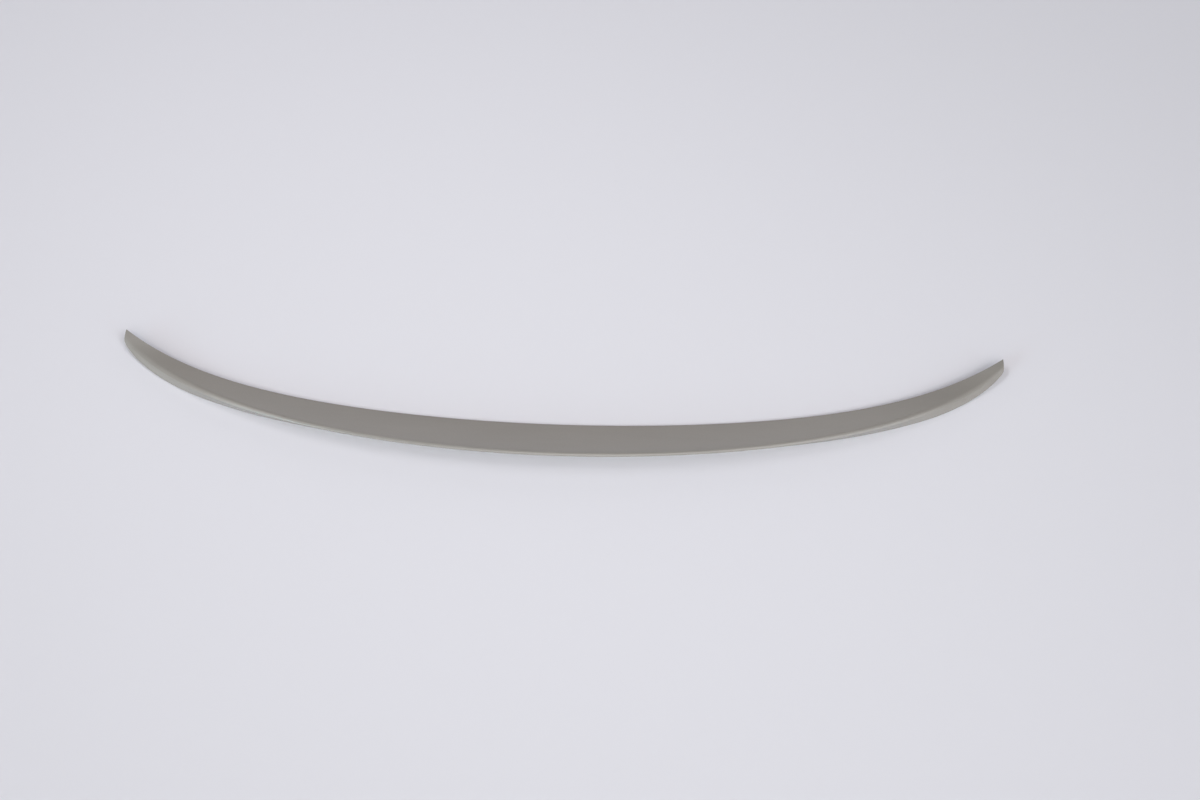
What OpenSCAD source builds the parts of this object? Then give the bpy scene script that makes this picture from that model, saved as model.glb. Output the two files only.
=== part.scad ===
// Rear lip spoiler for a car's boot lid: one slender moulded piece, bowed in plan.
// It is bonded along the trailing edge of the lid with two strips of foam tape.
// X runs across the car, Y towards the front of the car, Z up. It lies on Z = 0,
// with the origin under the middle of its outline.
// Every cross-section is cut in a plane of constant X. In a section, s is the
// distance behind the front edge.

/* [Plan] */
// Length across the car, from tip to tip
span = 1200; // [1000:10:1400]
// How far the tips sweep forward along the even, round part of the curve
bow_round = 85; // [50:1:130]
// How much further the tips sweep forward by the curve that sets in near them
bow_sweep = 47; // [10:1:70]
// How late that second curve sets in
sweep_power = 6; // [4:0.5:8]
// Width of the base at mid length
base_mid = 48; // [44:1:60]
// How much narrower the base is at the tips, before the corner is rounded
base_taper = 12; // [6:0.5:14]
// Length of each tip over which its rear corner is rounded off
corner_len = 114; // [70:1:140]
// How far the rear corner is cut back at the very tip
corner_depth = 20; // [12:0.5:24]

/* [Height] */
// Height of the lip at mid length
lip_h = 26; // [20:0.5:40]
// How evenly the lip keeps its height before it falls: higher is longer
lip_power = 2.2; // [1.6:0.1:3]
// How softly the lip runs out at the tips: higher is softer
lip_fade = 0.82; // [0.6:0.02:1.2]
// Thickness of the tips
tip_t = 3; // [2.4:0.1:5]
// Half of the length over which the underside is flat
flat_half = 150; // [80:5:240]
// How far the front edge has risen at the tips
tip_lift = 12; // [0:0.5:20]
// How late the front edge rises: higher is nearer the tips
tip_power = 3; // [2:0.5:4]
// How far the heel has risen at the tips
heel_lift = 9; // [0:0.5:12]
// How late the heel rises over the length of the rounded corner
heel_power = 4; // [2:0.5:6]

/* [Lip] */
// How far the lip stands out behind the heel at mid length
over_mid = 21; // [16:0.5:28]
// How much of that is lost towards the tips, before the corner
over_fall = 34; // [24:0.5:38]
// How late the lip gives up its overhang: higher is nearer the tips
over_power = 2.2; // [1.6:0.1:3]
// Radius of the lip's edge at mid length
nose_mid_r = 2.8; // [1.8:0.1:4]
// Radius that the lip's edge changes to towards the tips
nose_tip_r = 2.4; // [1.6:0.1:4]
// How much larger the round shoulder is at the tips than the lip's edge, which it leads to
shoulder_r = 21; // [6:0.5:26]
// How late that shoulder grows out of the lip's edge: higher is nearer the tips
shoulder_power = 4; // [3:0.5:6]
// How far back the surface has turned down where the shoulder meets the lip's edge, in degrees
shoulder_turn = 25; // [10:1:35]
// How much the top face turns up towards the lip, in degrees
lip_kick = 6; // [0:0.5:10]
// How much the rear face is hollowed below the lip, in degrees
rear_hollow = 14; // [0:1:20]

/* [Edges] */
// Thickness of the front edge
edge_t = 2; // [1.5:0.1:3]
// Radius along the top of the front edge
edge_r = 0.8; // [0.3:0.1:1.2]
// Bevel along the heel
heel_bevel = 0.6; // [0.3:0.1:1]

/* [Underside] */
// Width of the foam tape's bed
tape_w = 10; // [6:0.5:11]
// Depth of that bed
tape_d = 0.6; // [0.3:0.1:0.8]
// Distance from the front edge and from the heel to the bed beside it
tape_margin = 3; // [2:0.5:3]
// Width of the land that is left between a bed and the pockets
land = 1.5; // [1:0.5:2]
// Thickness of the skin above the pockets
skin_t = 3; // [2.4:0.1:3.4]
// Distance between the ribs, to the nearest that leaves a pocket at mid length
rib_pitch = 74; // [56:2:120]
// Thickness of a rib
rib_t = 2.5; // [1.5:0.1:4]
// How far the ribs stay above the lands
rib_drop = 1; // [0.2:0.1:1.5]
// Slant of each pocket's sides, for drawing it from the mould
draft = 1; // [0.5:0.1:1.5]
// Length of solid moulding between the last pocket and the end of the beds
end_solid = 12; // [6:1:30]

/* [Hidden] */

primer_grey = [0.525, 0.515, 0.495];

// Number of steps along each part of a section and of the length
TOP_STEPS = 10;
SHOULDER_STEPS = 5;
NOSE_STEPS = 6;
REAR_STEPS = 5;
ROOF_STEPS = 4;
POCKET_STEPS = 4;
CORNER_STEPS = 14;

// Share of the room in front of it that the shoulder may take
SHOULDER_ROOM = 0.9;
// Share of the moulding's thickness that the radius of the lip's edge may take
NOSE_ROOM = 0.45;

// What the underside has at a station
SOLID = 0;
BEDS = 1;
RIB = 2;
POCKET = 3;

half = span / 2;
beds_half = half - corner_len;
pockets_half = beds_half - end_solid;
mid_y = (bow_round + bow_sweep - base_mid - over_mid) / 2;
// An odd number of pockets, so that one lies at mid length
cells = 2 * round(pockets_half / rib_pitch - 0.5) + 1;
cell_len = 2 * pockets_half / cells;

// Rails that run the length of the spoiler

// 0 at mid length and 1 at a tip
function along(x) = abs(x) / half;
// 0 where the rear corner starts to round off and 1 at the tip
function corner_pos(x) = min(1, max(0, (abs(x) - beds_half) / corner_len));
// A quarter of an ellipse, from 0 to 1
function corner(x) = 1 - sqrt(1 - pow(corner_pos(x), 2));

function front_y(x) =
    bow_round * pow(along(x), 2) + bow_sweep * pow(along(x), sweep_power) - mid_y;
function front_z(x) =
    tip_lift * pow(max(0, abs(x) - flat_half) / (half - flat_half), tip_power);
function base_w(x) = base_mid - base_taper * pow(along(x), 2) - corner_depth * corner(x);
function heel_z(x) = heel_lift * pow(corner_pos(x), heel_power);
// The lip stands out in the middle, lies inside the heel further out and meets it at the tip
function overhang(x) =
    over_mid - over_fall * pow(along(x), over_power) + (over_fall - over_mid) * corner(x);
function reach(x) = base_w(x) + overhang(x);
function lip_z(x) =
    heel_z(x) + tip_t + (lip_h - tip_t) * pow(max(0, 1 - pow(along(x), lip_power)), lip_fade);
function nose_r(x) =
    min(
        nose_mid_r + (nose_tip_r - nose_mid_r) * pow(along(x), 2),
        NOSE_ROOM * (lip_z(x) - heel_z(x))
    );
// 1 at mid length, where the section is most hollow, and 0 at the tips
function fullness(x) = 1 - pow(along(x), 2);

// A section's visible skin

// Centre of the lip's rounded edge, as [s, z]
function nose_c(x) = [reach(x) - nose_r(x), lip_z(x) - nose_r(x)];
// Angle of the line that touches a circle of radius r, seen from a distance d
function touch(r, d) = asin(min(1, r / norm(d)));

function top_start(x) = [edge_r, front_z(x) + edge_t];
// Square to the surface where the shoulder meets the lip's edge
shoulder_out = [sin(shoulder_turn), cos(shoulder_turn)];
// The shoulder's radius, which the distance to the front edge limits
function round_r(x) =
    let (
        d = nose_c(x) + nose_r(x) * shoulder_out - top_start(x),
        widest = SHOULDER_ROOM * (d * d) / (2 * d * shoulder_out)
    )
    max(nose_r(x), min(nose_r(x) + shoulder_r * pow(along(x), shoulder_power), widest));
function round_c(x) = nose_c(x) - (round_r(x) - nose_r(x)) * shoulder_out;
function top_angle(x) =
    let (d = round_c(x) - top_start(x))
    atan2(d[1], d[0]) + touch(round_r(x), d) + lip_kick * fullness(x);
function top_end(x) = round_c(x) + round_r(x) * [-sin(top_angle(x)), cos(top_angle(x))];
// Height of the top face at s: a shallow hollow that meets the shoulder without a crease
function top_z(x, s) =
    let (
        start = top_start(x),
        d = top_end(x) - start,
        mean = d[1] / d[0],
        rise = tan(top_angle(x)),
        t = (s - start[0]) / d[0]
    )
    start[1] + d[0] * ((2 * mean - rise) * t + (rise - mean) * t * t);

function heel(x) = [base_w(x), heel_z(x) + heel_bevel];
// Lean of the rear face where it leaves the lip's edge
function rear_angle(x) =
    let (d = nose_c(x) - heel(x))
    atan2(d[0], d[1]) + touch(nose_r(x), d) + rear_hollow * fullness(x);
function rear_start(x) = nose_c(x) + nose_r(x) * [cos(rear_angle(x)), -sin(rear_angle(x))];
// Point at the share t of the way down the rear face, which is hollow below the lip
function rear_point(x, t) =
    let (
        start = rear_start(x),
        d = start - heel(x),
        lean = tan(rear_angle(x)),
        mean = d[0] / d[1]
    )
    start - d[1] * [lean * t + (mean - lean) * t * t, t];

// Point at the share t of the way round an arc about c, from angle a0 to a1
function arc_point(c, r, a0, a1, t) =
    let (a = a0 + (a1 - a0) * t)
    c + r * [cos(a), sin(a)];

// From the foot of the front edge over the top, the shoulder and the lip to the heel
function skin_points(x) =
    let (
        z0 = front_z(x),
        z1 = z0 + edge_t,
        s0 = edge_r,
        s1 = top_end(x)[0]
    )
    [
        [0, z0],
        [0, z1 - edge_r],
        [edge_r * (1 - cos(45)), z1 - edge_r * (1 - sin(45))],
        for (i = [0 : TOP_STEPS - 1])
            let (s = s0 + (s1 - s0) * i / TOP_STEPS)
            [s, top_z(x, s)],
        for (i = [0 : SHOULDER_STEPS - 1])
            arc_point(round_c(x), round_r(x), 90 + top_angle(x), 90 - shoulder_turn, i / SHOULDER_STEPS),
        for (i = [0 : NOSE_STEPS])
            arc_point(nose_c(x), nose_r(x), 90 - shoulder_turn, -rear_angle(x), i / NOSE_STEPS),
        for (i = [1 : REAR_STEPS])
            rear_point(x, i / REAR_STEPS)
    ];

// A section's underside

// The beds and pockets shrink with the base where the corner rounds off
function shrink(x) = min(1, base_w(x) / base_w(beds_half));
function base_z(x, s) = front_z(x) + (heel_z(x) - front_z(x)) * s / base_w(x);
function base_point(x, s, up = 0) = [s, base_z(x, s) + up];

// Four points of a tape bed that lies between s0 and s1, from the rear to the front
function bed_points(x, s0, s1, state) =
    let (up = state == SOLID ? 0 : tape_d, in = tape_d * shrink(x))
    [
        base_point(x, s1),
        base_point(x, s1 - in, up),
        base_point(x, s0 + in, up),
        base_point(x, s0)
    ];

// Height of the pocket's roof, or of the rib or solid moulding in its place
function roof_z(x, s, state) =
    state == POCKET ? top_z(x, s) - skin_t
    : base_z(x, s) + (state == RIB ? rib_drop : 0);

function pocket_points(x, s0, s1, state) =
    let (in = draft * shrink(x), r0 = s0 + in, r1 = s1 - in)
    [
        base_point(x, s1),
        for (i = [0 : ROOF_STEPS])
            let (s = r1 + (r0 - r1) * i / ROOF_STEPS)
            [s, roof_z(x, s, state)],
        base_point(x, s0)
    ];

// From the heel back to the front edge
function underside_points(x, state) =
    let (
        k = shrink(x),
        w = base_w(x),
        bed0 = tape_margin * k,
        bed1 = (tape_margin + tape_w) * k,
        pocket0 = (tape_margin + tape_w + land) * k
    )
    [
        base_point(x, w - heel_bevel * k),
        each bed_points(x, w - bed1, w - bed0, state),
        each pocket_points(x, pocket0, w - pocket0, state),
        each bed_points(x, bed0, bed1, state)
    ];

function section(x, state) =
    [
        for (p = concat(skin_points(x), underside_points(x, state)))
            [x, front_y(x) - p[0], p[1]]
    ];

// Stations along the length, as [x, state]

function cell_stations(i) =
    let (
        first = i == 0,
        last = i == cells - 1,
        x0 = -pockets_half + i * cell_len + (first ? 0 : rib_t / 2),
        x1 = -pockets_half + (i + 1) * cell_len - (last ? 0 : rib_t / 2),
        open0 = x0 + draft,
        open1 = x1 - draft
    )
    [
        [x0, first ? BEDS : RIB],
        for (j = [0 : POCKET_STEPS])
            [open0 + (open1 - open0) * j / POCKET_STEPS, POCKET],
        [x1, last ? BEDS : RIB]
    ];

end_stations = [
    [beds_half, BEDS],
    [beds_half + tape_d, SOLID],
    for (i = [1 : CORNER_STEPS])
        [beds_half + corner_len * sin(90 * i / CORNER_STEPS), SOLID]
];

stations = concat(
    [for (i = [len(end_stations) - 1 : -1 : 0]) [-end_stations[i][0], end_stations[i][1]]],
    [for (i = [0 : cells - 1]) each cell_stations(i)],
    end_stations
);

// Closed skin through the sections, with a flat end at each tip
module rear_lip_spoiler() {
    rings = [for (st = stations) section(st[0], st[1])];
    count = len(rings);
    n = len(rings[0]);
    centres = [for (ring = [rings[0], rings[count - 1]]) (ring[0] + ring[TOP_STEPS]) / 2];
    points = concat([for (ring = rings) each ring], centres);
    left_centre = count * n;
    right_centre = left_centre + 1;
    last_ring = (count - 1) * n;
    faces = [
        for (i = [0 : count - 2], j = [0 : n - 1])
            let (
                k = (j + 1) % n,
                a = i * n + j,
                b = i * n + k,
                c = a + n,
                d = b + n
            )
            each [[a, c, d], [a, d, b]],
        for (j = [0 : n - 1]) [left_centre, j, (j + 1) % n],
        for (j = [0 : n - 1]) [right_centre, last_ring + (j + 1) % n, last_ring + j]
    ];
    color(primer_grey) polyhedron(points = points, faces = faces, convexity = 6);
}

rear_lip_spoiler();
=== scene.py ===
"""A car's rear lip spoiler in satin grey primer, lying on a pale paper floor.

The spoiler is one moulding. Geometry Nodes loft its closed skin through named sizes, section by
section: x runs along the spoiler, and in each section s is the distance behind the front edge.
"""

import ast
import math

import bmesh
import bpy
from bpy.props import FloatProperty, FloatVectorProperty, PointerProperty, StringProperty
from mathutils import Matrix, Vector


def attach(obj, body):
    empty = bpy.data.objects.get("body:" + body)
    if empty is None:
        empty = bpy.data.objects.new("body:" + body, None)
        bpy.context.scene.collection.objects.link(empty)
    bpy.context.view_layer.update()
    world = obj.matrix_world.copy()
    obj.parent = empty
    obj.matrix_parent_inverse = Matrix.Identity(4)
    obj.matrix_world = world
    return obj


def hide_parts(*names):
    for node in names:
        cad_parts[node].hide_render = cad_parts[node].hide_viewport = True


bl_info = {
    "name": "Rear Lip Spoiler",
    "version": (1, 0, 0),
    "blender": (4, 5, 0),
    "location": "3D View > Sidebar > Spoiler",
    "description": "Lofts a boot lid's lip spoiler and sets it on a pale floor",
    "category": "Object",
}

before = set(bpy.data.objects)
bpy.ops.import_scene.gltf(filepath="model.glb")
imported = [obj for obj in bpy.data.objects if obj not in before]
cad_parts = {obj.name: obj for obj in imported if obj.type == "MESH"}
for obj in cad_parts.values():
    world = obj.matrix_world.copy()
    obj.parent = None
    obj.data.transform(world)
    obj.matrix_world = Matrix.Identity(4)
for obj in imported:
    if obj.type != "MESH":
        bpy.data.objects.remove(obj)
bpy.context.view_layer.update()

NODE = "rear_lip_spoiler"
BODY = "root"
MM = 0.001


# Helpers


def linear(hex_colour):
    """An sRGB hex colour as linear RGBA."""
    channels = [int(hex_colour[i : i + 2], 16) / 255 for i in (0, 2, 4)]
    return [c / 12.92 if c <= 0.04045 else ((c + 0.055) / 1.055) ** 2.4 for c in channels] + [1.0]


def add(tree, kind, settings=None, inputs=None):
    """Adds a node, sets its properties, and fills its inputs with values or links from sockets."""
    made = tree.nodes.new(kind)
    for name, value in (settings or {}).items():
        setattr(made, name, value)
    for key, value in (inputs or {}).items():
        if isinstance(value, bpy.types.NodeSocket):
            tree.links.new(value, made.inputs[key])
        else:
            made.inputs[key].default_value = value
    return made


OPERATORS = {
    ast.Add: "ADD",
    ast.Sub: "SUBTRACT",
    ast.Mult: "MULTIPLY",
    ast.Div: "DIVIDE",
    ast.Pow: "POWER",
}
CALLS = {
    "sin": "SINE",
    "cos": "COSINE",
    "tan": "TANGENT",
    "asin": "ARCSINE",
    "atan2": "ARCTAN2",
    "sqrt": "SQRT",
    "abs": "ABSOLUTE",
    "min": "MINIMUM",
    "max": "MAXIMUM",
    "floor": "FLOOR",
}


def formula(tree, text, names):
    """Builds a written formula from Math nodes and returns the socket that holds its result."""

    def build(term):
        if isinstance(term, ast.Constant):
            return float(term.value)
        if isinstance(term, ast.Name):
            return names[term.id]
        if isinstance(term, ast.BinOp):
            operation, parts = OPERATORS[type(term.op)], (term.left, term.right)
        else:
            operation, parts = CALLS[term.func.id], term.args
        values = dict(enumerate(build(part) for part in parts))
        return add(tree, "ShaderNodeMath", {"operation": operation}, values).outputs[0]

    return build(ast.parse(text).body[0].value)


def tree_input(tree, name, kind, **settings):
    """Adds a named input to a node tree."""
    socket = tree.interface.new_socket(name=name, in_out="INPUT", socket_type=kind)
    for key, value in settings.items():
        setattr(socket, key, value)


# Settings


def length(name, description, mm):
    """A length that a user may change, in metres, from its default in millimetres."""
    return FloatProperty(
        name=name,
        description=description,
        default=mm * MM,
        subtype="DISTANCE",
        unit="LENGTH",
        precision=4,
    )


def angle(name, description, degrees):
    """An angle that a user may change, from its default in degrees."""
    return FloatProperty(
        name=name,
        description=description,
        default=math.radians(degrees),
        subtype="ANGLE",
        unit="ROTATION",
    )


def share(name, description, value):
    """A share from 0 to 1 that a user may change."""
    return FloatProperty(
        name=name,
        description=description,
        default=value,
        min=0.0,
        max=1.0,
        subtype="FACTOR",
    )


def number(name, description, value):
    """A plain number that a user may change."""
    return FloatProperty(name=name, description=description, default=value)


def hex_text(name, description, colour):
    """A colour that a user may change, as sRGB hex text."""
    return StringProperty(name=name, description=description, default=colour)


class SpoilerShape(bpy.types.PropertyGroup):
    """Driving sizes of the spoiler: the same ones as in the CAD model."""

    span: length("Span", "Length across the car, from tip to tip", 1200)
    bow_round: length("Round bow", "Forward sweep of the tips by the even curve", 85)
    bow_sweep: length("Tip sweep", "Further sweep by the curve that sets in near the tips", 47)
    sweep_power: number("Sweep power", "How late the tip sweep sets in", 6)
    base_mid: length("Base width", "Width of the base at mid length", 48)
    base_taper: length("Base taper", "How much narrower the base is at the tips", 12)
    corner_len: length("Corner length", "Length of each tip's rounded rear corner", 114)
    corner_depth: length("Corner depth", "How far the rear corner is cut back at the tip", 20)
    lip_h: length("Lip height", "Height of the lip at mid length", 26)
    lip_power: number("Lip power", "How long the lip keeps its height", 2.2)
    lip_fade: number("Lip fade", "How softly the lip runs out", 0.82)
    tip_t: length("Tip thickness", "Thickness of the tips", 3)
    flat_half: length("Flat half", "Half of the length over which the underside is flat", 150)
    tip_lift: length("Tip lift", "How far the front edge has risen at the tips", 12)
    tip_power: number("Tip power", "How late the front edge rises", 3)
    heel_lift: length("Heel lift", "How far the heel has risen at the tips", 9)
    heel_power: number("Heel power", "How late the heel rises", 4)
    over_mid: length("Overhang", "How far the lip stands out behind the heel", 21)
    over_fall: length("Overhang fall", "How much of the overhang is lost towards the tips", 34)
    over_power: number("Overhang power", "How late the overhang falls", 2.2)
    nose_mid_r: length("Lip radius", "Radius of the lip's edge at mid length", 2.8)
    nose_tip_r: length("Outer lip radius", "Radius that the lip's edge changes to", 2.4)
    shoulder_r: length("Shoulder radius", "How much larger the shoulder is than the lip's edge", 21)
    shoulder_power: number("Shoulder power", "How late the shoulder grows", 4)
    shoulder_turn: angle("Shoulder turn", "How far the shoulder leans back at the lip's edge", 25)
    lip_kick: angle("Lip kick", "How much the top face turns up towards the lip", 6)
    rear_hollow: angle("Rear hollow", "How much the rear face is hollowed", 14)
    edge_t: length("Front edge", "Thickness of the front edge", 2)
    edge_r: length("Front edge radius", "Radius along the top of the front edge", 0.8)
    heel_bevel: length("Heel bevel", "Bevel along the heel", 0.6)


class SpoilerUnderside(bpy.types.PropertyGroup):
    """Sizes of the hidden side: beds for foam tape, and pockets between ribs."""

    tape_w: length("Tape width", "Width of the foam tape's bed", 10)
    tape_d: length("Bed depth", "Depth of the tape's bed", 0.6)
    tape_margin: length("Margin", "Distance from an edge to the bed beside it", 3)
    land: length("Land", "Width of the land between a bed and the pockets", 1.5)
    skin_t: length("Skin", "Thickness of the skin above the pockets", 3)
    rib_pitch: length("Rib pitch", "Distance between the ribs", 74)
    rib_t: length("Rib thickness", "Thickness of a rib", 2.5)
    rib_drop: length("Rib drop", "How far the ribs stay above the lands", 1)
    draft: length("Draft", "Slant of each pocket's sides", 1)
    end_solid: length("Solid end", "Solid length between the last pocket and the beds' ends", 12)
    station_gap: length("Station gap", "Distance between neighbouring sections of the skin", 4)


class PrimerFinish(bpy.types.PropertyGroup):
    """Look of the primer."""

    colour: hex_text("Primer", "Colour of the sprayed primer", "8C8783")
    thin_colour: hex_text("Thin primer", "Colour where the coat is thin, under the part", "7A7875")
    roughness: share("Roughness", "Satin of the coat", 0.24)
    satin_change: share("Satin change", "How much the satin differs between sprayed passes", 0.03)
    under_dull: share("Dull underside", "How much rougher the underside is", 0.16)
    shade_change: share("Shade change", "How much the shade differs between sprayed passes", 0.045)
    speck_change: share("Speck change", "How much the shade differs between specks", 0.028)
    thin_least: share("Least thinning", "How far the best covered spots under the part are thin", 0.25)
    pass_width: length("Pass width", "Width of a pass of the spray gun", 60)
    speck: length("Speck", "Width of a speck of pigment or dust", 1.2)
    peel: length("Orange peel", "Width of a dimple of the orange peel", 2.5)
    peel_depth: length("Peel depth", "Depth of the orange peel", 0.02)


class StudioStage(bpy.types.PropertyGroup):
    """Floor, lamps and camera."""

    paper_colour: hex_text("Paper", "Colour of the paper floor about the spoiler", "E2E0E8")
    # Paper colour far from the lit middle: painted shade for the light's falloff across the floor
    far_shaded_colour: hex_text("Far paper", "Colour that the paper deepens to farther off", "D0CED6")
    shade_reach: length("Far from", "Distance at which the paper has its far colour", 2000)
    # Middle of the painted pool of light on the paper, where its colour is palest
    lit_middle: FloatVectorProperty(
        name="Pale middle",
        description="Point about which the paper is palest",
        default=(0.03, -0.4, 0.0),
        subtype="TRANSLATION",
        unit="LENGTH",
    )
    wall_light: number("Wall light", "Light from the walls all round", 1.2)
    ceiling_light: number("Ceiling light", "Light from the ceiling", 0.0)
    lens: FloatProperty(name="Lens", description="Focal length", default=50.0, unit="CAMERA")
    elevation: angle("Elevation", "Height of the camera above the horizon", 50)
    azimuth: angle("Azimuth", "Turn of the camera about the vertical", -2.62)
    distance: length("Distance", "From the camera to the point that it looks at", 2231.5)
    target: FloatVectorProperty(
        name="Target",
        description="Point that the camera looks at",
        default=(0.0567, 0.0147, 0.0),
        subtype="TRANSLATION",
        unit="LENGTH",
    )


# Shape of the skin

# Fixed values in the formulas: a quarter turn, the shares of the room there that the lip's edge and
# the shoulder may take, and a least length that keeps a division from zero
FIXED = {
    "quarter_turn": math.pi / 2,
    "nose_room": 0.45,
    "shoulder_room": 0.9,
    "least": 0.1 * MM,
}

# What is open in the underside at a station
OPENINGS = ("bed", "rib", "pocket")

# Every rail and size that a section needs, in the order in which they are worked out. The base runs
# from the front to the heel. The edge is the thin front edge, the nose is the lip's rounded edge, the
# turn is the round shoulder in front of it, and they meet at the joint. The top is the hollow face in
# front of the turn, and the rear is the hollow face below the nose. A name ends in _s for a distance
# behind the front edge, in _z for a height and in _r for a radius. But joint_s and top_s count from
# the start of the top face and rear_s from the heel, and _h is a height above the same point
RAILS = {
    "half": "span / 2",
    "beds_half": "half - corner_len",
    "mid_y": "(bow_round + bow_sweep - base_mid - over_mid) / 2",
    "along": "abs(x) / half",
    "along2": "along * along",
    "fullness": "1 - along2",
    "corner_pos": "min(max((abs(x) - beds_half) / corner_len, 0), 1)",
    "corner": "1 - sqrt(max(1 - corner_pos * corner_pos, 0))",
    "front_y": "bow_round * along2 + bow_sweep * along ** sweep_power - mid_y",
    "front_z": "tip_lift * (max(abs(x) - flat_half, 0) / (half - flat_half)) ** tip_power",
    "base_w": "base_mid - base_taper * along2 - corner_depth * corner",
    "heel_z": "heel_lift * corner_pos ** heel_power",
    "reach": "base_w + over_mid - over_fall * along ** over_power + (over_fall - over_mid) * corner",
    "lip_z": "heel_z + tip_t + (lip_h - tip_t) * max(1 - along ** lip_power, 0) ** lip_fade",
    "nose_r": "min(nose_mid_r + (nose_tip_r - nose_mid_r) * along2, nose_room * (lip_z - heel_z))",
    "nose_s": "reach - nose_r",
    "nose_z": "lip_z - nose_r",
    "edge_z": "front_z + edge_t",
    "joint_s": "nose_s + nose_r * sin(shoulder_turn) - edge_r",
    "joint_h": "nose_z + nose_r * cos(shoulder_turn) - edge_z",
    "joint_in": "max(joint_s * sin(shoulder_turn) + joint_h * cos(shoulder_turn), least)",
    "turn_most": "shoulder_room * (joint_s * joint_s + joint_h * joint_h) / (2 * joint_in)",
    "turn_r": "min(nose_r + shoulder_r * along ** shoulder_power, max(turn_most, nose_r))",
    "turn_s": "nose_s - (turn_r - nose_r) * sin(shoulder_turn)",
    "turn_z": "nose_z - (turn_r - nose_r) * cos(shoulder_turn)",
    "top_s": "turn_s - edge_r",
    "top_h": "turn_z - edge_z",
    "top_touch": "asin(min(turn_r / sqrt(top_s * top_s + top_h * top_h), 1))",
    "top_angle": "atan2(top_h, top_s) + top_touch + lip_kick * fullness",
    "top_len": "top_s - turn_r * sin(top_angle)",
    "top_mean": "(turn_z + turn_r * cos(top_angle) - edge_z) / top_len",
    "top_rise": "tan(top_angle)",
    "bevel_z": "heel_z + heel_bevel",
    "rear_s": "nose_s - base_w",
    "rear_h": "nose_z - bevel_z",
    "rear_touch": "asin(min(nose_r / sqrt(rear_s * rear_s + rear_h * rear_h), 1))",
    "rear_angle": "atan2(rear_s, rear_h) + rear_touch + rear_hollow * fullness",
    "rear_s0": "nose_s + nose_r * cos(rear_angle)",
    "rear_z0": "nose_z - nose_r * sin(rear_angle)",
    "rear_drop": "rear_z0 - bevel_z",
    "rear_mean": "(rear_s0 - base_w) / rear_drop",
    "rear_lean": "tan(rear_angle)",
    "turn_arc": "quarter_turn + top_angle - (top_angle + shoulder_turn) * t",
    "nose_arc": "quarter_turn - shoulder_turn - (quarter_turn - shoulder_turn + rear_angle) * t",
    "shrink": "min(base_w / (base_mid - base_taper * (beds_half / half) ** 2), 1)",
    "bevel": "heel_bevel * shrink",
    "bed0": "tape_margin * shrink",
    "bed1": "(tape_margin + tape_w) * shrink",
    "pocket0": "(tape_margin + tape_w + land) * shrink",
    "step": "tape_d * shrink",
    "slant": "draft * shrink",
    "rise": "(heel_z - front_z) / base_w",
}

# Height of the hollow top face at the share {t} of the way across it
TOP_FACE = "(edge_z + top_len * (2 * top_mean - top_rise + (top_rise - top_mean) * {t}) * {t})"

# Strips of the skin, from the foot of the front edge over the top and the lip to the heel:
# how many steps, then s and z at the share t of the way across
SKIN = (
    (2, "0", "front_z + (edge_t - edge_r) * t"),
    (5, "edge_r * (1 - cos(quarter_turn * t))", "edge_z - edge_r * (1 - sin(quarter_turn * t))"),
    (26, "edge_r + top_len * t", TOP_FACE.format(t="t")),
    (14, "turn_s + turn_r * cos(turn_arc)", "turn_z + turn_r * sin(turn_arc)"),
    (16, "nose_s + nose_r * cos(nose_arc)", "nose_z + nose_r * sin(nose_arc)"),
    (
        14,
        "rear_s0 - rear_drop * (rear_lean * t + (rear_mean - rear_lean) * t * t)",
        "rear_z0 - rear_drop * t",
    ),
)

# Corners of the underside from the heel to the front edge: s, and the height above the base
UNDERSIDE = (
    ("base_w - bevel", "0"),
    ("base_w - bed0", "0"),
    ("base_w - bed0 - step", "tape_d * bed"),
    ("base_w - bed1 + step", "tape_d * bed"),
    ("base_w - bed1", "0"),
    ("base_w - pocket0", "0"),
    ("base_w - pocket0 - slant", "roof"),
    ("pocket0 + slant", "roof"),
    ("pocket0", "0"),
    ("bed1", "0"),
    ("bed1 - step", "tape_d * bed"),
    ("bed0 + step", "tape_d * bed"),
    ("bed0", "0"),
    ("0", "0"),
)
# Steps across the roof of a pocket, and the gap up to which points are merged where strips meet
ROOF_STEPS = 8
MERGE_GAP = 0.0005 * MM
# Sections on each tip's rounded corner: so many times closer than elsewhere, and at least so many
CORNER_DENSITY = 1.6
CORNER_LEAST = 8
# Edges where the faces meet at a larger angle than this are shaded sharp
SHARP_ANGLE = math.radians(28)


def roof_text(s, base):
    """Formula for the height of a pocket's roof at s, or of the rib or solid moulding in its place."""
    top = TOP_FACE.format(t=f"(({s} - edge_r) / top_len)")
    return f"{base} + rib_drop * rib + ({top} - skin_t - {base}) * pocket"


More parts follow.
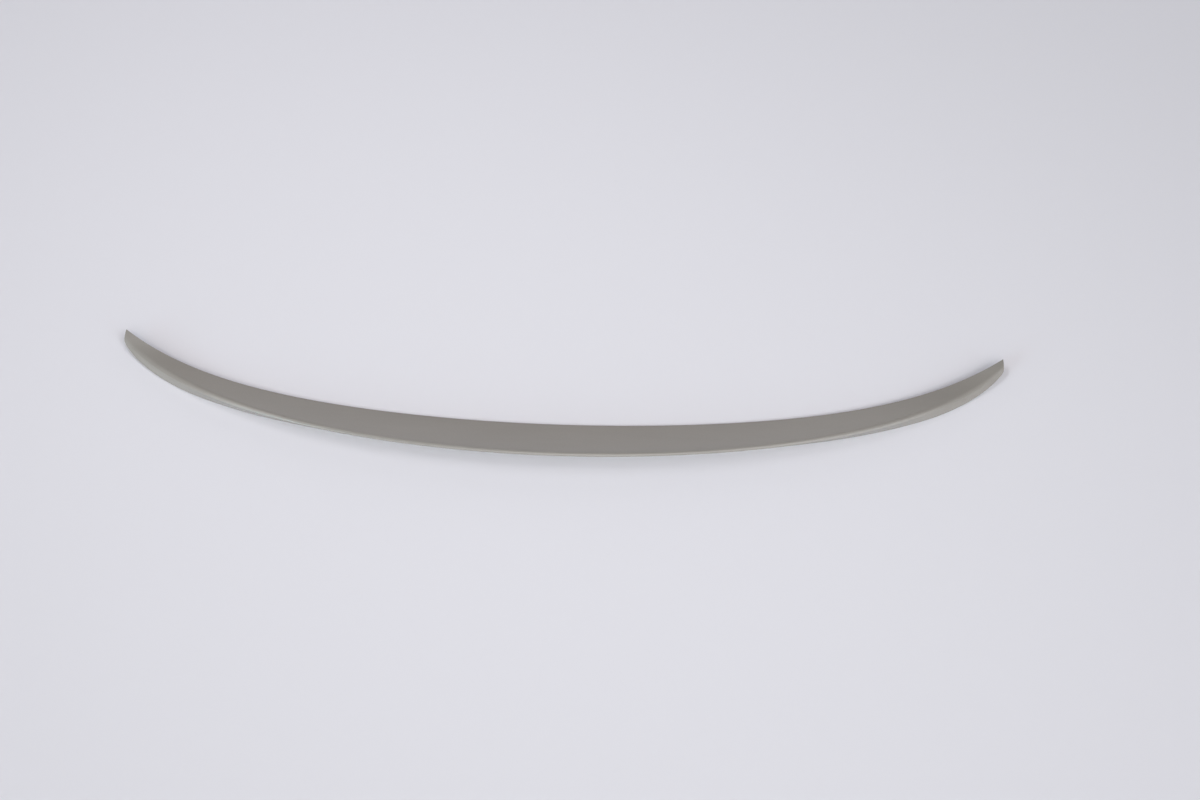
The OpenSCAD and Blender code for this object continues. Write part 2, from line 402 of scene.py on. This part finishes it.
def strip_group():
    """Node group for one strip: a grid with a column for each station, at x, and t across it."""
    tree = bpy.data.node_groups.new("Station strip", "GeometryNodeTree")
    tree_input(tree, "Stations", "NodeSocketGeometry")
    tree_input(tree, "Steps", "NodeSocketInt", default_value=1)
    tree.interface.new_socket(name="Strip", in_out="OUTPUT", socket_type="NodeSocketGeometry")
    given = add(tree, "NodeGroupInput")
    count = add(
        tree,
        "GeometryNodeAttributeDomainSize",
        {"component": "MESH"},
        {"Geometry": given.outputs["Stations"]},
    )
    rows = formula(tree, "steps + 1", {"steps": given.outputs["Steps"]})
    grid = add(
        tree,
        "GeometryNodeMeshGrid",
        inputs={"Vertices X": count.outputs["Point Count"], "Vertices Y": rows},
    )
    names = {"index": add(tree, "GeometryNodeInputIndex").outputs[0], "rows": rows}
    names["station"] = formula(tree, "floor(index / rows)", names)
    t = formula(tree, "(index - station * rows) / (rows - 1)", names)
    strip = grid.outputs["Mesh"]
    for attribute in OPENINGS:
        value = add(
            tree,
            "GeometryNodeSampleIndex",
            {"data_type": "FLOAT", "domain": "POINT"},
            {
                "Geometry": given.outputs["Stations"],
                "Value": add(
                    tree,
                    "GeometryNodeInputNamedAttribute",
                    {"data_type": "FLOAT"},
                    {"Name": attribute},
                ).outputs["Attribute"],
                "Index": names["station"],
            },
        )
        strip = add(
            tree,
            "GeometryNodeStoreNamedAttribute",
            {"data_type": "FLOAT", "domain": "POINT"},
            {"Geometry": strip, "Name": attribute, "Value": value.outputs["Value"]},
        ).outputs["Geometry"]
    place = add(
        tree,
        "GeometryNodeSampleIndex",
        {"data_type": "FLOAT_VECTOR", "domain": "POINT"},
        {
            "Geometry": given.outputs["Stations"],
            "Value": add(tree, "GeometryNodeInputPosition").outputs[0],
            "Index": names["station"],
        },
    )
    x = add(tree, "ShaderNodeSeparateXYZ", inputs={"Vector": place.outputs["Value"]}).outputs["X"]
    flat = add(tree, "ShaderNodeCombineXYZ", inputs={"X": x, "Y": t})
    moved = add(
        tree,
        "GeometryNodeSetPosition",
        inputs={"Geometry": strip, "Position": flat.outputs[0]},
    )
    add(tree, "NodeGroupOutput", inputs={"Strip": moved.outputs["Geometry"]})
    return tree


def loft_tree(sizes, material):
    """Node tree that lofts the closed skin through the stations, from named sizes."""
    tree = bpy.data.node_groups.new("Lip spoiler loft", "GeometryNodeTree")
    tree_input(tree, "Stations", "NodeSocketGeometry")
    for label in sizes.values():
        tree_input(tree, label, "NodeSocketFloat")
    tree.interface.new_socket(name="Skin", in_out="OUTPUT", socket_type="NodeSocketGeometry")
    given = add(tree, "NodeGroupInput")
    stations = given.outputs["Stations"]
    names = {name: given.outputs[label] for name, label in sizes.items()}
    spot = add(
        tree,
        "ShaderNodeSeparateXYZ",
        inputs={"Vector": add(tree, "GeometryNodeInputPosition").outputs[0]},
    )
    names["x"], names["t"] = spot.outputs["X"], spot.outputs["Y"]
    names.update(FIXED)
    for attribute in OPENINGS:
        names[attribute] = add(
            tree,
            "GeometryNodeInputNamedAttribute",
            {"data_type": "FLOAT"},
            {"Name": attribute},
        ).outputs["Attribute"]
    for name, text in RAILS.items():
        names[name] = formula(tree, text, names)
    strip = strip_group()

    def laid(steps, s, z, below):
        """One strip of the skin, laid where its s and z say."""
        group = add(tree, "GeometryNodeGroup", {"node_tree": strip})
        tree.links.new(stations, group.inputs["Stations"])
        group.inputs["Steps"].default_value = steps
        marked = add(
            tree,
            "GeometryNodeStoreNamedAttribute",
            {"data_type": "FLOAT", "domain": "POINT"},
            {"Geometry": group.outputs["Strip"], "Name": "underside", "Value": float(below)},
        )
        y = add(tree, "ShaderNodeMath", {"operation": "SUBTRACT"}, {0: names["front_y"], 1: s})
        point = add(tree, "ShaderNodeCombineXYZ", inputs={"X": names["x"], "Y": y.outputs[0], "Z": z})
        return add(
            tree,
            "GeometryNodeSetPosition",
            inputs={"Geometry": marked.outputs["Geometry"], "Position": point.outputs[0]},
        ).outputs["Geometry"]

    strips = [
        laid(steps, formula(tree, s, names), formula(tree, z, names), below=False)
        for steps, s, z in SKIN
    ]

    names.update(s0=names["base_w"], z0=names["bevel_z"])
    roofed = False
    for s, up in UNDERSIDE:
        was_roofed, roofed = roofed, up == "roof"
        names["s1"] = formula(tree, s, names)
        names["base1"] = formula(tree, "front_z + rise * s1", names)
        names["z1"] = formula(tree, roof_text("s1", "base1") if roofed else f"base1 + {up}", names)
        names["s_t"] = formula(tree, "s0 + (s1 - s0) * t", names)
        if roofed and was_roofed:
            names["base_t"] = formula(tree, "front_z + rise * s_t", names)
            steps, z_t = ROOF_STEPS, formula(tree, roof_text("s_t", "base_t"), names)
        else:
            steps, z_t = 1, formula(tree, "z0 + (z1 - z0) * t", names)
        strips.append(laid(steps, names["s_t"], z_t, below=True))
        names.update(s0=names["s1"], z0=names["z1"])

    joined = add(tree, "GeometryNodeJoinGeometry")
    for piece in strips:
        tree.links.new(piece, joined.inputs[0])
    sewn = add(
        tree,
        "GeometryNodeMergeByDistance",
        inputs={"Geometry": joined.outputs[0], "Distance": MERGE_GAP},
    )

    # Each open end is drawn in to one point, which closes it with a flat fan. An edge of the rim has
    # one face beside it, and sockets 2 and 3 are the ones that compare whole numbers
    rim = add(
        tree,
        "FunctionNodeCompare",
        {"data_type": "INT", "operation": "EQUAL"},
        {2: add(tree, "GeometryNodeInputMeshEdgeNeighbors").outputs[0], 3: 1},
    )
    drawn = add(
        tree,
        "GeometryNodeExtrudeMesh",
        {"mode": "EDGES"},
        {"Mesh": sewn.outputs[0], "Selection": rim.outputs[0], "Offset Scale": 0.0},
    )
    middle = add(
        tree,
        "ShaderNodeCombineXYZ",
        inputs={
            "X": names["x"],
            "Y": formula(tree, "front_y - base_w / 2", names),
            "Z": formula(tree, "(front_z + heel_z + edge_t) / 2", names),
        },
    )
    closed = add(
        tree,
        "GeometryNodeSetPosition",
        inputs={
            "Geometry": drawn.outputs["Mesh"],
            "Selection": drawn.outputs["Top"],
            "Position": middle.outputs[0],
        },
    )
    whole = add(
        tree,
        "GeometryNodeMergeByDistance",
        inputs={"Geometry": closed.outputs[0], "Distance": MERGE_GAP},
    )
    real = add(tree, "GeometryNodeRealizeInstances", inputs={"Geometry": whole.outputs[0]})
    painted = add(
        tree,
        "GeometryNodeSetMaterial",
        inputs={"Geometry": real.outputs[0], "Material": material},
    )
    add(tree, "NodeGroupOutput", inputs={"Skin": painted.outputs[0]})
    return tree


def station_list(shape, under):
    """Stations from left to right: x, and whether the beds, a rib and a pocket are there."""
    half = shape.span / 2
    beds_half = half - shape.corner_len
    pockets_half = beds_half - under.end_solid
    # An odd number of pockets, so that one is in the middle
    cells = 2 * round(pockets_half / under.rib_pitch - 1 / 2) + 1
    cell = 2 * pockets_half / cells
    steps = max(1, round(cell / under.station_gap))
    inner = []
    for i in range(cells):
        first, last = i == 0, i == cells - 1
        x0 = -pockets_half + i * cell + (0 if first else under.rib_t / 2)
        x1 = -pockets_half + (i + 1) * cell - (0 if last else under.rib_t / 2)
        open0, open1 = x0 + under.draft, x1 - under.draft
        inner.append((x0, 1, 0 if first else 1, 0))
        inner += [(open0 + (open1 - open0) * j / steps, 1, 0, 1) for j in range(steps + 1)]
        inner.append((x1, 1, 0 if last else 1, 0))
    end = [(pockets_half + under.end_solid / 2, 1, 0, 0), (beds_half, 1, 0, 0)]
    end.append((beds_half + under.tape_d, 0, 0, 0))
    # Over the rounded corner the sections close up towards the tip, as on an even arc, and those that
    # would come right beside the beds' ends are left out
    turns = max(CORNER_LEAST, round(CORNER_DENSITY * shape.corner_len / under.station_gap))
    for i in range(1, turns + 1):
        x = beds_half + shape.corner_len * math.sin(FIXED["quarter_turn"] * i / turns)
        if x > beds_half + 2 * under.tape_d:
            end.append((x, 0, 0, 0))
    return [(-x, *state) for x, *state in reversed(end)] + inner + end


# Materials

# Range that most of a noise texture's values lie in
NOISE_LOW, NOISE_HIGH = 0.3, 0.7
# Scale of the passes' pattern: a pass of the spray gun is four times as long, along X, as it is wide
PASS_STRETCH = (0.25, 1.0, 1.0)
# Height of the specks as a share of the orange peel's, and how strongly the relief turns the light
SPECK_RELIEF = 0.25
BUMP = 0.35
PRIMER_IOR = 1.5


def primer_material(finish):
    """Satin grey primer, sprayed on a plastic moulding.

    The coat is a pigmented film with no metallic in it: an even warm grey, a broad soft highlight on
    the tight radius of the lip, and a faint orange peel. It is thin and duller under the part.
    """
    material = bpy.data.materials.new("satin_grey_primer")
    material.use_nodes = True
    tree = material.node_tree
    tree.nodes.clear()
    place = add(tree, "ShaderNodeTexCoord").outputs["Object"]

    # Uneven spray, in long passes that run along the part
    passes = add(tree, "ShaderNodeMapping", inputs={"Vector": place, "Scale": PASS_STRETCH})
    cloud = add(
        tree,
        "ShaderNodeTexNoise",
        inputs={"Vector": passes.outputs[0], "Scale": 1 / finish.pass_width, "Detail": 3.0},
    )
    # Pigment and dust: real specks are finer and wouldn't show
    specks = add(
        tree,
        "ShaderNodeTexNoise",
        inputs={"Vector": place, "Scale": 1 / finish.speck, "Detail": 2.0},
    )

    def between(value, low, high):
        """Socket that runs from low to high as a noise runs over its usual range."""
        ends = {"From Min": NOISE_LOW, "From Max": NOISE_HIGH, "To Min": low, "To Max": high}
        return add(tree, "ShaderNodeMapRange", inputs={"Value": value, **ends}).outputs[0]

    level = formula(
        tree,
        "shade * speck",
        {
            "shade": between(cloud.outputs["Fac"], 1 - finish.shade_change, 1 + finish.shade_change),
            "speck": between(specks.outputs["Fac"], 1 - finish.speck_change, 1 + finish.speck_change),
        },
    )
    under = add(tree, "ShaderNodeAttribute", {"attribute_name": "underside"}).outputs["Fac"]
    patchy = between(cloud.outputs["Fac"], finish.thin_least, 1.0)
    thin = formula(tree, "under * patchy", {"under": under, "patchy": patchy})
    coat = add(
        tree,
        "ShaderNodeMix",
        {"data_type": "RGBA"},
        {"Factor": thin, "A": linear(finish.colour), "B": linear(finish.thin_colour)},
    )
    tone = add(
        tree,
        "ShaderNodeMix",
        {"data_type": "RGBA", "blend_type": "MULTIPLY"},
        {"Factor": 1.0, "A": coat.outputs["Result"], "B": level},
    )

    # Satin: a little duller where the spray landed dry, and duller still under the part
    low, high = finish.roughness - finish.satin_change, finish.roughness + finish.satin_change
    satin = between(cloud.outputs["Fac"], low, high)
    dull = formula(
        tree,
        "satin + under * more",
        {"satin": satin, "under": under, "more": finish.under_dull},
    )
    # Orange peel: shallow dimples with the specks on them
    peel = add(
        tree,
        "ShaderNodeTexNoise",
        inputs={"Vector": place, "Scale": 1 / finish.peel, "Detail": 1.0},
    )
    relief = formula(
        tree,
        "dimples + specks * share",
        {"dimples": peel.outputs["Fac"], "specks": specks.outputs["Fac"], "share": SPECK_RELIEF},
    )
    bump = add(
        tree,
        "ShaderNodeBump",
        inputs={"Strength": BUMP, "Distance": finish.peel_depth, "Height": relief},
    )
    surface = add(
        tree,
        "ShaderNodeBsdfPrincipled",
        inputs={
            "Base Color": tone.outputs["Result"],
            "Roughness": dull,
            "IOR": PRIMER_IOR,
            "Normal": bump.outputs[0],
        },
    )
    add(tree, "ShaderNodeOutputMaterial", inputs={"Surface": surface.outputs[0]})
    return material


def paper_material(stage):
    """Background paper: matt and faintly blue, with painted shade that darkens its colour away from a
    lit middle, as the light falls off.
    """
    material = bpy.data.materials.new("paper_painted_falloff")
    material.use_nodes = True
    tree = material.node_tree
    tree.nodes.clear()
    place = add(tree, "ShaderNodeTexCoord").outputs["Object"]
    away = add(
        tree,
        "ShaderNodeVectorMath",
        {"operation": "DISTANCE"},
        {0: place, 1: stage.lit_middle},
    )
    # Painted shade: the paper's colour darkens with distance from the lit middle, in place of the
    # light's falloff
    painted_falloff = add(
        tree,
        "ShaderNodeMapRange",
        {"interpolation_type": "SMOOTHSTEP"},
        {"Value": away.outputs["Value"], "From Min": 0.0, "From Max": stage.shade_reach},
    )
    near, far = linear(stage.paper_colour), linear(stage.far_shaded_colour)
    shade = add(
        tree,
        "ShaderNodeMix",
        {"data_type": "RGBA"},
        {"Factor": painted_falloff.outputs[0], "A": near, "B": far},
    )
    surface = add(tree, "ShaderNodeBsdfDiffuse", inputs={"Color": shade.outputs["Result"]})
    add(tree, "ShaderNodeOutputMaterial", inputs={"Surface": surface.outputs[0]})
    return material


# Stage

# Soft round lamps, all aimed at the spoiler. Each has a name, its azimuth from +Y towards +X and its
# elevation, in degrees, its width as an angle in degrees, its light at the spoiler, in watts a square
# metre, its colour, and its distance in metres, or None where it is so far off that it lights the
# whole floor evenly. The low lamps are cool, as light from windows is
LAMPS = (
    ("near_bank", 180, 35, 34, 1.08, "FFFAF0", None),
    ("right_bank", 135, 35, 34, 0.80, "FFFFFF", None),
    ("low_left_bank", 225, 12, 22, 1.27, "D9F8FF", None),
    ("low_right_bank", 135, 12, 22, 0.40, "D9F8FF", None),
    ("far_top_lamp", 315, 62, 34, 0.54, "FFFFFF", 2.0),
    ("left_top_lamp", 270, 56, 10, 0.27, "FFFFFF", None),
    ("left_lamp", 236, 48, 10, 0.19, "FFFFFF", None),
    ("right_top_lamp", 90, 56, 10, 0.18, "FFFFFF", None),
    ("right_lamp", 124, 56, 10, 0.17, "FFFFFF", 2.0),
)
# Elevations between which the room's light falls off from the walls to the ceiling, in degrees
WALL_TOP = 10
CEILING_EDGE = 50
# Floor: half its length in metres, and how far it lies under the spoiler, so that they don't flicker
FLOOR_HALF = 40.0
FLOOR_DROP = 0.2 * MM
# Camera: width of its frame in millimetres, and how far it sees, in metres
FRAME_WIDTH = 36.0
SIGHT = 50.0


def direction(azimuth, elevation):
    """Unit vector at an azimuth, from +Y towards +X, and an elevation."""
    flat = math.cos(elevation)
    return Vector((math.sin(azimuth) * flat, math.cos(azimuth) * flat, math.sin(elevation)))


# Operators


class OBJECT_OT_add_lip_spoiler(bpy.types.Operator):
    """Lofts the spoiler's closed skin, underside and all, and gives it its primer"""

    bl_idname = "object.add_lip_spoiler"
    bl_label = "Add Lip Spoiler"

    def execute(self, context):
        scene = context.scene
        shape, under = scene.spoiler_shape, scene.spoiler_underside
        stations = station_list(shape, under)
        base = bpy.data.meshes.new("stations")
        base.from_pydata([(x, 0, 0) for x, *_ in stations], [], [])
        for column, attribute in enumerate(OPENINGS, start=1):
            data = base.attributes.new(attribute, "FLOAT", "POINT").data
            data.foreach_set("value", [float(row[column]) for row in stations])
        holder = bpy.data.objects.new("stations", base)
        scene.collection.objects.link(holder)

        material = primer_material(scene.primer_finish)
        sizes, values = {}, {}
        for group in (shape, under):
            for name, prop in group.bl_rna.properties.items():
                if name not in ("rna_type", "name"):
                    sizes[name] = prop.name
                    values[prop.name] = getattr(group, name)
        tree = loft_tree(sizes, material)
        modifier = holder.modifiers.new("Loft", "NODES")
        modifier.node_group = tree
        for item in tree.interface.items_tree:
            if item.name in values:
                modifier[item.identifier] = values[item.name]

        # The loft becomes a plain mesh, closed and with its faces turned outwards
        evaluated = holder.evaluated_get(context.evaluated_depsgraph_get())
        mesh = bpy.data.meshes.new_from_object(evaluated)
        holder.modifiers.remove(modifier)
        bpy.data.objects.remove(holder)
        if not mesh.polygons:
            raise RuntimeError("the loft made no skin")
        shell = bmesh.new()
        shell.from_mesh(mesh)
        bmesh.ops.recalc_face_normals(shell, faces=shell.faces)
        if any(not edge.is_manifold for edge in shell.edges):
            raise RuntimeError("the spoiler's skin isn't closed")
        if shell.calc_volume(signed=True) < 0:
            bmesh.ops.reverse_faces(shell, faces=shell.faces)
        shell.to_mesh(mesh)
        shell.free()
        mesh.shade_smooth()
        mesh.set_sharp_from_angle(angle=SHARP_ANGLE)
        mesh.name = "lip_spoiler"
        spoiler = bpy.data.objects.new("lip_spoiler", mesh)
        scene.collection.objects.link(spoiler)
        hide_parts(NODE)
        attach(spoiler, BODY)
        return {"FINISHED"}


class OBJECT_OT_add_spoiler_stage(bpy.types.Operator):
    """Adds the paper floor, the soft lamps, the room's light and the camera"""

    bl_idname = "object.add_spoiler_stage"
    bl_label = "Add Spoiler Stage"

    def execute(self, context):
        scene = context.scene
        stage = scene.spoiler_stage
        self.add_floor(scene, stage)
        self.add_lamps(scene)
        self.add_room(scene, stage)
        self.add_camera(scene, stage)
        scene.view_settings.view_transform = "Standard"
        return {"FINISHED"}

    def add_floor(self, scene, stage):
        """Adds one wide square of paper just under the spoiler."""
        signs = ((-1, -1), (1, -1), (1, 1), (-1, 1))
        corners = [(x * FLOOR_HALF, y * FLOOR_HALF, -FLOOR_DROP) for x, y in signs]
        mesh = bpy.data.meshes.new("floor")
        mesh.from_pydata(corners, [], [(0, 1, 2, 3)])
        mesh.materials.append(paper_material(stage))
        floor = bpy.data.objects.new("floor", mesh)
        scene.collection.objects.link(floor)

    def add_lamps(self, scene):
        """Adds each lamp at its place: a round panel if it is near, and otherwise a wide sun."""
        for name, azimuth, elevation, spread, level, colour, distance in LAMPS:
            toward = direction(math.radians(azimuth), math.radians(elevation))
            if distance:
                lamp = bpy.data.lights.new(name, "AREA")
                lamp.shape = "DISK"
                lamp.size = 2 * distance * math.tan(math.radians(spread) / 2)
                # A round lamp of this power gives its level, in watts a square metre, at the spoiler
                lamp.energy = math.pi * distance**2 * level
            else:
                lamp = bpy.data.lights.new(name, "SUN")
                lamp.angle = math.radians(spread)
                lamp.energy = level
            lamp.color = linear(colour)[:3]
            holder = bpy.data.objects.new(name, lamp)
            # Only a sun's direction counts, so it may stand anywhere
            holder.location = toward * (distance or 1)
            holder.rotation_euler = (-toward).to_track_quat("-Z", "Y").to_euler()
            holder.visible_camera = False
            scene.collection.objects.link(holder)

    def add_room(self, scene, stage):
        """Lights the scene from pale walls all round, under a dim ceiling."""
        world = bpy.data.worlds.new("room")
        world.use_nodes = True
        tree = world.node_tree
        tree.nodes.clear()
        heading = add(tree, "ShaderNodeTexCoord").outputs["Generated"]
        height = add(tree, "ShaderNodeSeparateXYZ", inputs={"Vector": heading}).outputs["Z"]
        level = add(
            tree,
            "ShaderNodeMapRange",
            {"interpolation_type": "SMOOTHSTEP"},
            {
                "Value": height,
                "From Min": math.sin(math.radians(WALL_TOP)),
                "From Max": math.sin(math.radians(CEILING_EDGE)),
                "To Min": stage.wall_light,
                "To Max": stage.ceiling_light,
            },
        )
        walls = add(tree, "ShaderNodeBackground", inputs={"Strength": level.outputs[0]})
        # The camera sees more of the paper behind the floor's far edge, in its far colour with the
        # painted shade
        paper = add(tree, "ShaderNodeBackground", inputs={"Color": linear(stage.far_shaded_colour)})
        seen = add(tree, "ShaderNodeLightPath").outputs["Is Camera Ray"]
        shown = add(
            tree,
            "ShaderNodeMixShader",
            inputs={0: seen, 1: walls.outputs[0], 2: paper.outputs[0]},
        )
        add(tree, "ShaderNodeOutputWorld", inputs={"Surface": shown.outputs[0]})
        scene.world = world

    def add_camera(self, scene, stage):
        """Adds the camera and aims it at its target."""
        lens = bpy.data.cameras.new("camera")
        lens.lens = stage.lens
        lens.sensor_width = FRAME_WIDTH
        lens.clip_end = SIGHT
        camera = bpy.data.objects.new("camera", lens)
        away = direction(stage.azimuth, -stage.elevation)
        camera.location = Vector(stage.target) - away * stage.distance
        camera.rotation_euler = away.to_track_quat("-Z", "Y").to_euler()
        scene.collection.objects.link(camera)
        scene.camera = camera


class VIEW3D_PT_lip_spoiler(bpy.types.Panel):
    """Lists the spoiler's operators and settings"""

    bl_label = "Rear Lip Spoiler"
    bl_idname = "VIEW3D_PT_lip_spoiler"
    bl_space_type = "VIEW_3D"
    bl_region_type = "UI"
    bl_category = "Spoiler"

    def draw(self, context):
        """Draws a button for each operator, and then every setting."""
        layout = self.layout
        layout.operator(OBJECT_OT_add_lip_spoiler.bl_idname)
        layout.operator(OBJECT_OT_add_spoiler_stage.bl_idname)
        for name in GROUPS:
            column = layout.column()
            group = getattr(context.scene, name)
            for key in group.bl_rna.properties.keys():
                if key not in ("rna_type", "name"):
                    column.prop(group, key)


GROUPS = {
    "spoiler_shape": SpoilerShape,
    "spoiler_underside": SpoilerUnderside,
    "primer_finish": PrimerFinish,
    "spoiler_stage": StudioStage,
}
CLASSES = (
    *GROUPS.values(),
    OBJECT_OT_add_lip_spoiler,
    OBJECT_OT_add_spoiler_stage,
    VIEW3D_PT_lip_spoiler,
)


def register():
    """Registers the classes and hangs the settings on the scene."""
    for cls in CLASSES:
        bpy.utils.register_class(cls)
    for name, group in GROUPS.items():
        setattr(bpy.types.Scene, name, PointerProperty(type=group))


def unregister():
    """Takes the settings and the classes away again."""
    for name in GROUPS:
        delattr(bpy.types.Scene, name)
    for cls in reversed(CLASSES):
        bpy.utils.unregister_class(cls)


def main():
    """Builds the stage and the spoiler."""
    register()
    bpy.ops.object.add_spoiler_stage()
    bpy.ops.object.add_lip_spoiler()


if __name__ == "__main__":
    main()
